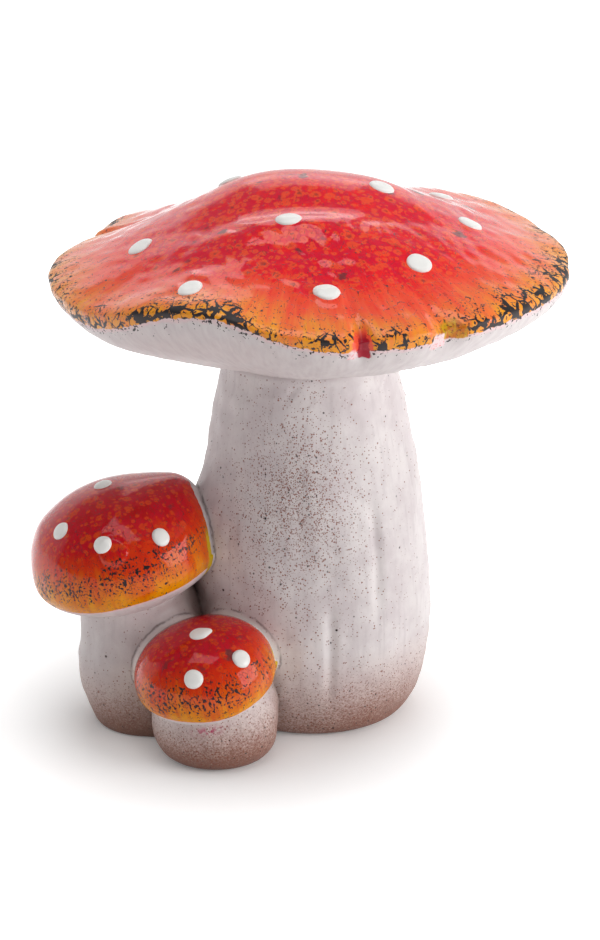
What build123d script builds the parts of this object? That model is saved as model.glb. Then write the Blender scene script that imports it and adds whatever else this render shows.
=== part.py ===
from build123d import *
import os
from dataclasses import dataclass
from math import asin, cos, degrees, exp, pi, radians, sin

# Ceramic mushroom ornament: a large, a medium and a small mushroom in one cluster.
# Each mushroom is a hollow stem and a hollow cap, slip-cast apart and luted at the neck.
# The medium and small castings are cut back to bed on their neighbours in joining slip,
# and raised dots of white enamel sit on the caps.
# Millimetres, +Z up. The front of the cluster faces -Y. Bearings are degrees from +X,
# counter-clockwise seen from above.

# Joining slip and enamel
SLIP = 0.9                     # layer of joining slip between two castings
DOT_RISE = 1.2                 # height of an enamel dot over the glaze around it

# Large mushroom, stem
LARGE_STEM_HEIGHT = 145.0
LARGE_FOOT_RADIUS = 35.0
LARGE_BELLY_RADIUS = 48.0
LARGE_BELLY_HEIGHT = 44.0
LARGE_NECK_RADIUS = 33.8
LARGE_LEAN = 2.0               # drift of the neck away from over the foot
LARGE_LEAN_BEARING = 233.0
LARGE_STEM_WALL = 6.0
LARGE_SEAM_BEARING = 331.0     # where the lofts close, clear of the dots and of the smaller mushrooms
# Large mushroom, cap
LARGE_CAP_RADIUS = 100.3
LARGE_CAP_RISE = 36.0          # crown above the rim
LARGE_RIM_HEIGHT = 37.0        # rim above the neck
LARGE_CAP_WALL = 6.0
LARGE_RIM_BAND = 14.0          # width of the rim where both skins meet and the cap is solid
LARGE_DOT_RADIUS = 5.0
LARGE_FLARE = 0.66             # 0 is a plain dome, 1 a bell with a flat brim
LARGE_FULLNESS = 2.0           # 2 is an elliptic dome, more is squarer
LARGE_UNDERSIDE = 0.5          # 0 is a bowl, 1 a straight cone

# Waves of the large rim: where the brim was lifted, torn in and pushed up while wet
ARCH_BEARING = 238.0
ARCH_SPREAD = 15.0
ARCH_LIFT = 8.0
TEAR_BEARING = 154.0
TEAR_SPREAD = 9.0
TEAR_DEPTH = 3.5
FLAP_BEARING = 130.0           # the brim behind the tear stands higher than before it
FLAP_SPREAD = 22.0
FLAP_LIFT = 3.2
SWELL_BEARING = 48.0
SWELL_SPREAD = 28.0
SWELL_LIFT = 6.5
# Bites out of the large rim
NOTCH_BEARINGS = (281.0, 300.0)
NOTCH_RADIUS = 6.5
NOTCH_DEPTH = 3.5

# Medium mushroom
MEDIUM_BEARING = 195.0         # where it stands round the large stem
MEDIUM_BITE = 6.0              # how far its stem is cut back to bed on the large stem
MEDIUM_STEM_HEIGHT = 55.0
MEDIUM_FOOT_RADIUS = 21.0
MEDIUM_BELLY_RADIUS = 25.2
MEDIUM_BELLY_HEIGHT = 21.0
MEDIUM_NECK_RADIUS = 22.0
MEDIUM_LEAN = 6.5
MEDIUM_LEAN_BEARING = 195.0
MEDIUM_STEM_WALL = 5.0
MEDIUM_CAP_RADIUS = 37.2
MEDIUM_CAP_RISE = 31.5
MEDIUM_RIM_HEIGHT = 13.5
MEDIUM_CAP_WALL = 5.0
MEDIUM_RIM_BAND = 8.0
MEDIUM_DOT_RADIUS = 3.6

# Small mushroom
SMALL_BEARING = 233.4
SMALL_BITE = 9.8
SMALL_STEM_HEIGHT = 24.5
SMALL_FOOT_RADIUS = 17.5
SMALL_BELLY_RADIUS = 24.6
SMALL_BELLY_HEIGHT = 14.5
SMALL_NECK_RADIUS = 22.5
SMALL_LEAN = 2.6
SMALL_LEAN_BEARING = 198.0
SMALL_STEM_WALL = 4.5
SMALL_CAP_RADIUS = 27.8
SMALL_CAP_RISE = 20.5
SMALL_RIM_HEIGHT = 8.0
SMALL_CAP_WALL = 4.5
SMALL_RIM_BAND = 7.0
SMALL_DOT_RADIUS = 3.7

# Form of the domed caps
DOME_FULLNESS = 2.2
DOME_UNDERSIDE = 0.25

# Enamel dots: bearing, and share of the way from the crown out to the rim
LARGE_DOTS = ((198, 0.665), (240, 0.844), (259, 0.366), (275, 0.754), (308, 0.66), (355, 0.284), (36, 0.66),
              (357, 0.624), (150, 0.34), (70, 0.36), (95, 0.68), (125, 0.62), (109, 0.86), (77, 0.87))
MEDIUM_DOTS = ((115, 0.062), (224, 0.688), (267, 0.812), (308, 0.882), (130, 0.86), (92, 0.82))
SMALL_DOTS = ((288, 0.232), (317, 0.853), (266, 0.881))

# Sampling of the lofts
FULL_TURN = 360.0
RING_POINTS = 48
UNDER_RINGS = 12
DOME_RINGS = 14
END_GUIDE = 0.12               # place of the ring that holds a loft's end tangent, in rings
CROWN_GAP = 0.36               # half of the flat disc that closes the crown, in rings
HEEL_RINGS = 6
TAPER_RINGS = 8
TAPER_POWER = 1.75             # how late a stem draws in above its belly
WAVE_POWER = 1.5               # how quickly a wave dies away from the rim
PROBE_STEP = 0.02              # share of a cap's radius over which its curvature is read
OVERCUT = 1.0                  # how far a cutter runs past the face it opens


@dataclass
class Mushroom:
    """Sizes and place of one mushroom of the cluster."""
    name: str
    seam: float
    foot: Vector
    lean: Vector
    stem_height: float
    foot_radius: float
    belly_radius: float
    belly_height: float
    neck_radius: float
    stem_wall: float
    cap_radius: float
    cap_rise: float
    rim_height: float
    cap_wall: float
    rim_band: float
    dot_radius: float
    dots: tuple
    flare: float = 0.0
    fullness: float = DOME_FULLNESS
    underside: float = DOME_UNDERSIDE
    waves: tuple = ()
    notches: tuple = ()
    beds: tuple = ()


def polar(length, bearing):
    """Level vector of a length along a bearing."""
    return Vector(length * cos(radians(bearing)), length * sin(radians(bearing)), 0)


def beside_large(bearing, belly_radius, bite):
    """Foot of a mushroom that beds into the belly of the large stem."""
    return polar(LARGE_BELLY_RADIUS + belly_radius - bite, bearing)


def axis_plane(m, height):
    """Plane across the leaning axis of a mushroom, at a height up its stem."""
    share = height / m.stem_height
    origin = m.foot + m.lean * share**2 + Vector(0, 0, height)
    axis = (m.lean * (2 * share) + Vector(0, 0, m.stem_height)).normalized()
    across = Vector(1, 0, 0) - axis * axis.X
    return Plane(origin, x_dir=across.normalized(), z_dir=axis)


def cap_plane(m):
    """Plane of the cap's neck, one layer of slip above the top of the stem."""
    return axis_plane(m, m.stem_height).offset(SLIP)


def circle(m, radius, plane):
    """Ring round a mushroom's axis, its seam turned away from the rest of the cluster."""
    outward = plane.from_local_coords(polar(1, m.seam)) - plane.origin
    return Wire.make_circle(radius, Plane(plane.origin, x_dir=outward, z_dir=plane.z_dir))


def tube(m, outside, inside, plane, length):
    """Length of tube along a mushroom's axis, or a rod where it has no inside."""
    profile = Face(circle(m, outside, plane), [circle(m, inside, plane)] if inside else [])
    return Solid.extrude(profile, plane.z_dir * length)


def stem_body(m, inset=0.0, overrun=0.0):
    """Stem with its skin moved in by inset, its ends running past the casting by overrun."""
    rings = [(m.foot_radius, -overrun)] if overrun else []
    for step in (0, END_GUIDE, *range(1, HEEL_RINGS)):
        turn = pi / 2 * step / HEEL_RINGS
        radius = m.foot_radius + (m.belly_radius - m.foot_radius) * sin(turn)
        rings.append((radius, m.belly_height * (1 - cos(turn))))
    for step in (*range(TAPER_RINGS), TAPER_RINGS - END_GUIDE, TAPER_RINGS):
        share = step / TAPER_RINGS
        radius = m.belly_radius + (m.neck_radius - m.belly_radius) * share**TAPER_POWER
        rings.append((radius, m.belly_height + (m.stem_height - m.belly_height) * share))
    if overrun:
        rings.append((m.neck_radius, m.stem_height + overrun))
    return Solid.make_loft([circle(m, r - inset, axis_plane(m, z)) for r, z in rings])


def dome(m, share):
    """Height of the cap's top over its rim, as a share of its rise."""
    bell = (1 + cos(pi * share)) / 2
    round_top = (1 - share**m.fullness) ** (1 / m.fullness)
    return m.flare * bell + (1 - m.flare) * round_top


def wave(m, radius, bearing):
    """Outward and upward shift of the brim at a place on the cap."""
    reach = max(radius - m.neck_radius, 0) / (m.cap_radius - m.neck_radius)
    out = up = 0.0
    for centre, spread, outward, upward in m.waves:
        away = (bearing - centre + FULL_TURN / 2) % FULL_TURN - FULL_TURN / 2
        bell = exp(-((away / spread) ** 2) / 2) * reach**WAVE_POWER
        out += outward * bell
        up += upward * bell
    return out, up


def cap_point(m, radius, height, bearing):
    """Point of a cap at a radius and height over its neck, moved by the waves of the brim."""
    out, up = wave(m, radius, bearing)
    return cap_plane(m).from_local_coords(polar(radius + out, bearing) + Vector(0, 0, height + up))


def cap_ring(m, radius, height):
    """Closed ring round a cap: a circle, or a spline where the brim is wavy."""
    if not m.waves:
        return circle(m, radius, cap_plane(m).offset(height))
    shares = [i / RING_POINTS for i in range(RING_POINTS + 1)]
    points = [cap_point(m, radius, height, m.seam + FULL_TURN * share) for share in shares[:-1]]
    return Wire([Edge.make_spline(points, periodic=True, parameters=shares)])


def cap_body(m, neck, floor, edge, rise):
    """Closed cap shape from a neck radius at the floor, out to the edge and up to the crown."""
    rings = []
    for step in (0, END_GUIDE, *range(1, UNDER_RINGS)):
        turn = pi / 2 * step / UNDER_RINGS
        climb = m.underside * sin(turn) + (1 - m.underside) * (1 - cos(turn))
        rings.append((neck + (edge - neck) * sin(turn), floor + (m.rim_height - floor) * climb))
    crown = DOME_RINGS - CROWN_GAP
    for step in (*range(DOME_RINGS), crown - END_GUIDE, crown):
        share = cos(pi / 2 * step / DOME_RINGS)
        rings.append((edge * share, m.rim_height + rise * dome(m, share)))
    return Solid.make_loft([cap_ring(m, r, z) for r, z in rings])


def cap_outer(m):
    """Cap as seen from outside, still full."""
    return cap_body(m, m.neck_radius, 0, m.cap_radius, m.cap_rise)


def cap_hollow(m):
    """Cavity of a cap, and the bore that drains it through the neck."""
    seat = m.neck_radius - m.cap_wall / 2
    cavity = cap_body(m, seat, m.cap_wall, m.cap_radius - m.rim_band, m.cap_rise - m.cap_wall)
    bore = tube(m, m.neck_radius - m.cap_wall, 0, cap_plane(m).offset(-OVERCUT), m.cap_wall + 2 * OVERCUT)
    return cavity, bore


def notch(m, bearing):
    """Upright round cutter that bites into the rim at a bearing."""
    out, up = wave(m, m.cap_radius, bearing)
    place = polar(m.cap_radius + out - NOTCH_DEPTH + NOTCH_RADIUS, bearing)
    base = cap_plane(m).from_local_coords(place)
    plane = Plane(base, x_dir=cap_plane(m).x_dir, z_dir=cap_plane(m).z_dir)
    return Solid.make_cylinder(NOTCH_RADIUS, m.rim_height + m.cap_rise + up, plane)


def neck_slip(m):
    """Ring of slip that lutes a cap on its stem."""
    return tube(m, m.neck_radius, m.neck_radius - m.cap_wall, axis_plane(m, m.stem_height), SLIP)


def top_point(m, share, bearing):
    """Point on the glazed top of a cap."""
    return cap_point(m, m.cap_radius * share, m.rim_height + m.cap_rise * dome(m, share), bearing)


def enamel_dot(m, outer, bearing, share):
    """Lens of enamel on a cap: a ball sunk so far that its edge meets the glaze at the dot's radius."""
    here = top_point(m, share, bearing)
    drops = []
    tangents = []
    for d_share, d_bearing in ((PROBE_STEP, 0), (0, degrees(PROBE_STEP / share))):
        ahead = top_point(m, share + d_share, bearing + d_bearing)
        behind = top_point(m, share - d_share, bearing - d_bearing)
        tangents.append(ahead - behind)
        drops.append((here - (ahead + behind) / 2) * (2 * m.dot_radius / (ahead - behind).length) ** 2)
    normal = tangents[0].cross(tangents[1]).normalized()
    drop = sum(max(d.dot(normal), 0) for d in drops) / len(drops)
    height = DOT_RISE + drop
    ball = (m.dot_radius**2 + height**2) / (2 * height)
    base = degrees(asin(1 - (height + drop + DOT_RISE) / ball))
    lens = Solid.make_sphere(ball, Plane(here + normal * (DOT_RISE - ball), z_dir=normal), angle1=base)
    return lens - outer


def add_casting(name, raw, hollows, neighbours):
    """Cut a casting back where it beds on earlier stems, fill each bed with slip, and hollow the casting.
    Slip that is laid later stops at the slip that is already on the same stem."""
    for neighbour in neighbours:
        skin, slip_skin = stem_skins[neighbour]
        bed = (raw & slip_skin) - skin
        for earlier in beds_on[neighbour]:
            bed = bed - earlier
        pieces[f"{name}_to_{neighbour}_slip"] = bed
        beds_on[neighbour].append(bed)
        raw = raw - slip_skin
    for hollow in hollows:
        raw = raw - hollow
    pieces[name] = raw


def largest_solid(shape):
    """The one body of a piece."""
    return max(shape.solids(), key=lambda solid: solid.volume)


large = Mushroom(
    "large", LARGE_SEAM_BEARING, Vector(0, 0, 0), polar(LARGE_LEAN, LARGE_LEAN_BEARING), LARGE_STEM_HEIGHT,
    LARGE_FOOT_RADIUS, LARGE_BELLY_RADIUS, LARGE_BELLY_HEIGHT, LARGE_NECK_RADIUS, LARGE_STEM_WALL,
    LARGE_CAP_RADIUS, LARGE_CAP_RISE, LARGE_RIM_HEIGHT, LARGE_CAP_WALL, LARGE_RIM_BAND, LARGE_DOT_RADIUS,
    LARGE_DOTS,
    flare=LARGE_FLARE, fullness=LARGE_FULLNESS, underside=LARGE_UNDERSIDE, notches=NOTCH_BEARINGS,
    waves=((ARCH_BEARING, ARCH_SPREAD, 0, ARCH_LIFT),
           (TEAR_BEARING, TEAR_SPREAD, -TEAR_DEPTH, 0),
           (FLAP_BEARING, FLAP_SPREAD, 0, FLAP_LIFT),
           (SWELL_BEARING, SWELL_SPREAD, 0, SWELL_LIFT)))
medium = Mushroom(
    "medium", MEDIUM_BEARING, beside_large(MEDIUM_BEARING, MEDIUM_BELLY_RADIUS, MEDIUM_BITE),
    polar(MEDIUM_LEAN, MEDIUM_LEAN_BEARING), MEDIUM_STEM_HEIGHT, MEDIUM_FOOT_RADIUS, MEDIUM_BELLY_RADIUS,
    MEDIUM_BELLY_HEIGHT, MEDIUM_NECK_RADIUS, MEDIUM_STEM_WALL, MEDIUM_CAP_RADIUS, MEDIUM_CAP_RISE,
    MEDIUM_RIM_HEIGHT, MEDIUM_CAP_WALL, MEDIUM_RIM_BAND, MEDIUM_DOT_RADIUS, MEDIUM_DOTS,
    beds=("large_stem",))
small = Mushroom(
    "small", SMALL_BEARING, beside_large(SMALL_BEARING, SMALL_BELLY_RADIUS, SMALL_BITE),
    polar(SMALL_LEAN, SMALL_LEAN_BEARING), SMALL_STEM_HEIGHT, SMALL_FOOT_RADIUS, SMALL_BELLY_RADIUS,
    SMALL_BELLY_HEIGHT, SMALL_NECK_RADIUS, SMALL_STEM_WALL, SMALL_CAP_RADIUS, SMALL_CAP_RISE,
    SMALL_RIM_HEIGHT, SMALL_CAP_WALL, SMALL_RIM_BAND, SMALL_DOT_RADIUS, SMALL_DOTS,
    beds=("large_stem", "medium_stem"))

pieces = {}
stem_skins = {}
beds_on = {}
for m in (large, medium, small):
    stem = stem_body(m)
    add_casting(f"{m.name}_stem", stem, [stem_body(m, m.stem_wall, OVERCUT)], m.beds)
    stem_skins[f"{m.name}_stem"] = (stem, stem_body(m, -SLIP))
    beds_on[f"{m.name}_stem"] = []

for m in (large, medium, small):
    cap = cap_outer(m)
    for number, (bearing, share) in enumerate(m.dots, 1):
        pieces[f"{m.name}_dot_{number}"] = enamel_dot(m, cap, bearing, share)
    for bearing in m.notches:
        cap = cap - notch(m, bearing)
    add_casting(f"{m.name}_cap", cap, cap_hollow(m), m.beds)
    ring = neck_slip(m)
    for neighbour in m.beds:
        ring = ring - stem_skins[neighbour][0]
    pieces[f"{m.name}_neck_slip"] = ring

# The origin goes on the ground under the middle of the whole cluster
pieces = {name: largest_solid(piece) for name, piece in pieces.items()}
box = Compound(list(pieces.values())).bounding_box()
to_origin = Location((-box.center().X, -box.center().Y, -box.min.Z))
os.makedirs("parts", exist_ok=True)
for name, piece in pieces.items():
    export_step(piece.moved(to_origin), f"parts/{name}.step")
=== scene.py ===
from dataclasses import dataclass

import bpy
import numpy as np
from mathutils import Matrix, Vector
from mathutils.bvhtree import BVHTree


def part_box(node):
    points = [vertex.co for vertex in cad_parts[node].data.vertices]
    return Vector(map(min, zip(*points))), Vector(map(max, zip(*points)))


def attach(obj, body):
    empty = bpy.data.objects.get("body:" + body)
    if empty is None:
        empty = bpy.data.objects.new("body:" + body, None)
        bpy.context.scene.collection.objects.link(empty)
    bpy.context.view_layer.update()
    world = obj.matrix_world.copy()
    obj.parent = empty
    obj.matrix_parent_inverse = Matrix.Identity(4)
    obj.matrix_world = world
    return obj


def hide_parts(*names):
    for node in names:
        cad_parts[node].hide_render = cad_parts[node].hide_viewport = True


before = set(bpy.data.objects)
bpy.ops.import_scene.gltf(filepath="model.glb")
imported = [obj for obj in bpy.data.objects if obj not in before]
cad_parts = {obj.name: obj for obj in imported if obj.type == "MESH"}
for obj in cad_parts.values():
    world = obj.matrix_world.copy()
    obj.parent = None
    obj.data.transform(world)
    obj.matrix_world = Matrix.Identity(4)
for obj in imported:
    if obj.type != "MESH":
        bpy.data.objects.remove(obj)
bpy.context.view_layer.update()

# Looks of the ceramic mushroom ornament: a large, a medium and a small mushroom in one cluster.
# Shapes are worked out in millimetres round the foot of the large stem and written to the meshes
# in metres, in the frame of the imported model. Bearings are degrees from +X, counter-clockwise
# seen from above, and the front of the cluster faces -Y.

MM = 0.001
UP = np.array([0.0, 0.0, 1.0])
ACROSS = np.array([1.0, 0.0, 0.0])


def polar(length, bearing):
    """Level vector of a length along a bearing."""
    turn = np.radians(bearing)
    return np.array([length * np.cos(turn), length * np.sin(turn), 0.0])


# Sizes shared with the solids

SLIP = 0.9                     # layer of joining slip under each cap
DOT_RISE = 1.2                 # height of an enamel dot
TAPER_POWER = 1.75             # how late a stem draws in above its belly
WAVE_POWER = 1.5               # how quickly a wave dies away from the rim

# Waves of the large brim: bearing, spread in degrees, shift outward, shift upward
BRIM_ARCH = (238.0, 15.0, 0.0, 8.0)
BRIM_TEAR = (154.0, 9.0, -3.5, 0.0)
BRIM_FLAP = (130.0, 22.0, 0.0, 3.2)
BRIM_SWELL = (48.0, 28.0, 0.0, 6.5)


@dataclass
class Mushroom:
    """Sizes and place of one mushroom of the cluster."""
    name: str
    foot: np.ndarray
    lean: np.ndarray
    stem_height: float
    foot_radius: float
    belly_radius: float
    belly_height: float
    neck_radius: float
    stem_wall: float
    cap_radius: float
    cap_rise: float
    rim_height: float
    cap_wall: float
    rim_band: float
    dot_radius: float
    dots: tuple
    flare: float = 0.0
    fullness: float = 2.2
    underside: float = 0.25
    waves: tuple = ()


large = Mushroom(
    "large", foot=polar(0, 0), lean=polar(2.0, 233), stem_height=145.0, foot_radius=35.0, belly_radius=48.0,
    belly_height=44.0, neck_radius=33.8, stem_wall=6.0, cap_radius=100.3, cap_rise=36.0, rim_height=37.0,
    cap_wall=6.0, rim_band=14.0, dot_radius=5.0, flare=0.66, fullness=2.0, underside=0.5,
    waves=(BRIM_ARCH, BRIM_TEAR, BRIM_FLAP, BRIM_SWELL),
    dots=((198, 0.665), (240, 0.844), (259, 0.366), (275, 0.754), (308, 0.66), (355, 0.284), (36, 0.66),
          (357, 0.624), (150, 0.34), (70, 0.36), (95, 0.68), (125, 0.62), (109, 0.86), (77, 0.87)))
medium = Mushroom(
    "medium", foot=polar(48.0 + 25.2 - 6.0, 195), lean=polar(6.5, 195), stem_height=55.0, foot_radius=21.0,
    belly_radius=25.2, belly_height=21.0, neck_radius=22.0, stem_wall=5.0, cap_radius=37.2, cap_rise=31.5,
    rim_height=13.5, cap_wall=5.0, rim_band=8.0, dot_radius=3.6,
    dots=((115, 0.062), (224, 0.688), (267, 0.812), (308, 0.882), (130, 0.86), (92, 0.82)))
small = Mushroom(
    "small", foot=polar(48.0 + 24.6 - 9.8, 233.4), lean=polar(2.6, 198), stem_height=24.5, foot_radius=17.5,
    belly_radius=24.6, belly_height=14.5, neck_radius=22.5, stem_wall=4.5, cap_radius=27.8, cap_rise=20.5,
    rim_height=8.0, cap_wall=4.5, rim_band=7.0, dot_radius=3.7,
    dots=((288, 0.232), (317, 0.853), (266, 0.881)))
MUSHROOMS = (large, medium, small)

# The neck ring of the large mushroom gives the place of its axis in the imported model
neck_low, neck_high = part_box("large_neck_slip")
axis_place = np.array((neck_low + neck_high) / 2) / MM - large.lean
axis_place[2] = 0.0


# Plain shapes

RIM_SPREAD = 4.0               # reach of the closer rings by a rim
RIM_GAIN = 3.0                 # how much closer they lie there
FARTHEST = 30.0                # distance between castings beyond which it no longer counts


def bell(distance, spread):
    """1 at no distance, falling off smoothly over the spread."""
    return np.exp(-((distance / spread) ** 2) / 2)


def step(value, low, high):
    """Smooth step from 0 at low to 1 at high."""
    t = np.clip((value - low) / (high - low), 0, 1)
    return t * t * (3 - 2 * t)


def turn_between(bearing, centre):
    """Degrees from a centre bearing, between -180 and 180."""
    return (bearing - centre + 180) % 360 - 180


def about(bearing, centre, spread):
    """1 at a centre bearing, falling off smoothly over a spread in degrees."""
    return bell(turn_between(bearing, centre), spread)


def bearings(count):
    """Even bearings once round."""
    return np.arange(count) * (360 / count)


def unit(vectors):
    return vectors / np.linalg.norm(vectors, axis=-1, keepdims=True)


def ripple(points, wavelength, seed, waves=24):
    """Smooth unevenness of about unit height: a sum of plane waves in fixed random directions."""
    rng = np.random.default_rng(seed)
    directions = unit(rng.normal(size=(waves, 3)))
    lengths = wavelength * rng.uniform(0.7, 1.5, waves)
    phases = rng.uniform(0, 2 * np.pi, waves)
    total = np.zeros(points.shape[:-1])
    for direction, length, phase in zip(directions, lengths, phases):
        total += np.sin(points @ direction * (2 * np.pi / length) + phase)
    return total / np.sqrt(waves / 2)


def axis_frame(m, height):
    """Origins and unit axes across a mushroom's leaning axis, at heights up its stem."""
    share = np.asarray(height, float)[..., None] / m.stem_height
    origin = m.foot + m.lean * share**2 + UP * (share * m.stem_height)
    axis = unit(m.lean * (2 * share) + UP * m.stem_height)
    across = unit(ACROSS - axis * axis[..., :1])
    return origin, across, np.cross(axis, across), axis


def stem_radius(m, height):
    """Radius of a stem: a rounded heel up to the belly, then a taper to the neck."""
    heel_turn = np.clip(1 - height / m.belly_height, 0, 1)
    heel = m.foot_radius + (m.belly_radius - m.foot_radius) * np.sqrt(1 - heel_turn**2)
    share = np.clip((height - m.belly_height) / (m.stem_height - m.belly_height), 0, 1)
    taper = m.belly_radius + (m.neck_radius - m.belly_radius) * share**TAPER_POWER
    return np.where(height < m.belly_height, heel, taper)


def dome(m, share):
    """Height of the cap's top over its rim, as a share of its rise."""
    bell_shape = (1 + np.cos(np.pi * share)) / 2
    round_top = np.clip(1 - share**m.fullness, 0, 1) ** (1 / m.fullness)
    return m.flare * bell_shape + (1 - m.flare) * round_top


def under_profile(m, neck, floor, edge, samples):
    """Radius and height of a cap's underside, from the neck out to the edge."""
    turn = np.linspace(0, np.pi / 2, samples)
    climb = m.underside * np.sin(turn) + (1 - m.underside) * (1 - np.cos(turn))
    return neck + (edge - neck) * np.sin(turn), floor + (m.rim_height - floor) * climb


def top_profile(m, edge, rise, samples):
    """Radius and height of a cap's top, from the edge in to the crown."""
    share = np.cos(np.linspace(0, np.pi / 2, samples))
    return edge * share, m.rim_height + rise * dome(m, share)


def brim_share(m, radius):
    """How much of a wave of the brim reaches in to a radius."""
    reach = np.clip(radius - m.neck_radius, 0, None) / (m.cap_radius - m.neck_radius)
    return reach**WAVE_POWER


def wave(m, radius, bearing):
    """Outward and upward shift of the brim at places on a cap."""
    out = np.zeros(np.broadcast(radius, bearing).shape)
    up = np.zeros_like(out)
    for centre, spread, outward, upward in m.waves:
        swing = about(bearing, centre, spread) * brim_share(m, radius)
        out += outward * swing
        up += upward * swing
    return out, up


def cap_places(m, radius, height, bearing):
    """Points of a cap at radii and heights over its neck, moved by the waves of the brim."""
    out, up = wave(m, radius, bearing)
    origin, across, along, axis = axis_frame(m, m.stem_height)
    turn = np.radians(bearing)
    reach = (radius + out)[..., None]
    sideways = reach * (np.cos(turn)[..., None] * across + np.sin(turn)[..., None] * along)
    return origin + sideways + (height + up + SLIP)[..., None] * axis


def resample(radius, height, count, near=None):
    """Even points along a profile, closer together round the place near, given as an arc length."""
    length = np.concatenate([[0], np.cumsum(np.hypot(np.diff(radius), np.diff(height)))])
    density = np.ones_like(length)
    if near is not None:
        density += RIM_GAIN * bell(length - near, RIM_SPREAD)
    load = np.concatenate([[0], np.cumsum(np.diff(length) * (density[1:] + density[:-1]) / 2)])
    places = np.interp(np.linspace(0, load[-1], count), load, length)
    return np.interp(places, length, radius), np.interp(places, length, height), places


def grid_normals(points):
    """Unit normals of a grid of rings, to the outside when rings climb and bearings grow."""
    along = np.gradient(points, axis=0)
    around = np.roll(points, -1, axis=1) - np.roll(points, 1, axis=1)
    return unit(np.cross(around, along))


def ring_faces(rings, segments):
    """Quads between neighbouring rings of a grid."""
    ring, segment = np.meshgrid(np.arange(rings - 1), np.arange(segments), indexing="ij")
    here = ring * segments + segment
    beside = ring * segments + (segment + 1) % segments
    quads = np.stack([here, beside, beside + segments, here + segments], axis=-1)
    return quads.reshape(-1, 4)


def closed_faces(rings, segments):
    """The same, with triangles to a point over the last ring and to another under the first."""
    last = (rings - 1) * segments
    here = np.arange(segments)
    beside = (here + 1) % segments
    over = np.stack([last + here, last + beside, np.full(segments, rings * segments)], axis=-1)
    under = np.stack([np.full(segments, rings * segments + 1), beside, here], axis=-1)
    return ring_faces(rings, segments).tolist() + over.tolist() + under.tolist()


def tree_of(points):
    """Search tree over a grid of rings."""
    vertices = points.reshape(-1, 3)
    return BVHTree.FromPolygons(vertices.tolist(), ring_faces(*points.shape[:2]).tolist())


def clearance(points, tree):
    """Distance from points to a shape, below zero inside it, with the direction out of the shape."""
    flat = points.reshape(-1, 3)
    distance = np.full(len(flat), FARTHEST)
    outward = np.zeros_like(flat)
    for i, point in enumerate(flat):
        found, normal, _, away = tree.find_nearest(Vector(point), FARTHEST)
        if found is None:
            continue
        side = 1.0 if (Vector(point) - found).dot(normal) >= 0 else -1.0
        distance[i] = side * away
        outward[i] = normal
    return distance.reshape(points.shape[:-1]), outward.reshape(points.shape)


# Pieces

def add_piece(name, points, faces, attributes, material, node):
    """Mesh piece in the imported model's frame that stands for a node."""
    mesh = bpy.data.meshes.new(name)
    mesh.from_pydata(((points + axis_place) * MM).tolist(), [], [list(face) for face in faces])
    for label, values in attributes.items():
        layer = mesh.attributes.new(label, "FLOAT", "POINT")
        layer.data.foreach_set("value", np.asarray(values, np.float32).ravel())
    mesh.shade_smooth()
    mesh.materials.append(material)
    piece = bpy.data.objects.new(name, mesh)
    bpy.context.scene.collection.objects.link(piece)
    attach(piece, "root")
    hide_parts(node)
    return piece


# Stems

STEM_SEGMENTS = {"large": 420, "medium": 280, "small": 240}
STEM_SAMPLES = 2001
STEM_SPACING = 0.85            # between rings of a stem's skin
INNER_RINGS = 40
INNER_POWER = 1.5              # how much closer the rings of a bore lie towards the foot
# Unevenness of a stem's skin: height, and wavelength with seed of its waves
STEM_SOFTNESS = {"large": 0.35, "medium": 0.35, "small": 0.3}
STEM_WAVES = (34.0, 3)
SKIN_SOFTNESS = 0.1
SKIN_WAVES = (9.0, 4)
FOOT_SETTLE = 6.0              # height over which it sets in

# Soft upright grooves in the large stem, the last one a hairline: bearing, half width in degrees,
# depth, lowest and highest place
GROOVES = ((278.6, 2.0, 1.7, 12, 64), (286.5, 3.5, 0.4, 18, 58), (303.5, 2.2, 1.6, 46, 104),
           (264.0, 2.2, 0.3, 74, 120), (325.0, 5.0, 0.45, 12, 60), (96.0, 3.0, 0.7, 20, 80),
           (150.0, 3.2, 0.6, 50, 110), (38.0, 3.0, 0.7, 28, 92), (337.0, 0.45, 0.5, 92, 122))
# Sag of the medium stem to one side: bearing, half width in degrees, height, half height, depth
SAG = (188.0, 50.0, 26.0, 13.0, 2.2)

# Tool marks where the large neck was luted
NECK_MARKS = 46
NECK_MARK_SEED = 11
NECK_MARK_BAND = (127.0, 144.5)
NECK_MARK_SLANT = (-0.9, 0.9)
NECK_MARK_WIDTH = (0.9, 3.2)
NECK_MARK_HEIGHT = (0.6, 1.1)
NECK_MARK_DEPTH = 0.42
NECK_TUCK = 1.6                # how far a stem and its cap reach into each other at the neck
NECK_RAISE = 2.2               # how much higher the large neck ends, for the raised underside of its cap
NECK_RAISE_FROM = 118.0        # height where that begins


def groove_depth(bearing, height, groove):
    """Depth of one upright groove, fading out at both ends."""
    centre, width, depth, low, high = groove
    fade = (high - low) / 3
    ends = step(height, low, low + fade) * (1 - step(height, high - fade, high))
    return depth * ends * about(bearing, centre, width)


def neck_marks(bearing, height, radius):
    """Small dents and burrs left by the tool that smoothed the slip at the neck."""
    rng = np.random.default_rng(NECK_MARK_SEED)
    total = np.zeros(np.broadcast(bearing, height).shape)
    for _ in range(NECK_MARKS):
        centre = rng.uniform(0, 360)
        level = rng.uniform(*NECK_MARK_BAND)
        slant = rng.uniform(*NECK_MARK_SLANT)
        width = rng.uniform(*NECK_MARK_WIDTH)
        tall = rng.uniform(*NECK_MARK_HEIGHT)
        depth = rng.normal() * NECK_MARK_DEPTH
        sideways = np.radians(turn_between(bearing, centre)) * radius
        upward = height - level - slant * sideways
        total += depth * bell(sideways, width) * bell(upward, tall)
    return total


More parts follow.
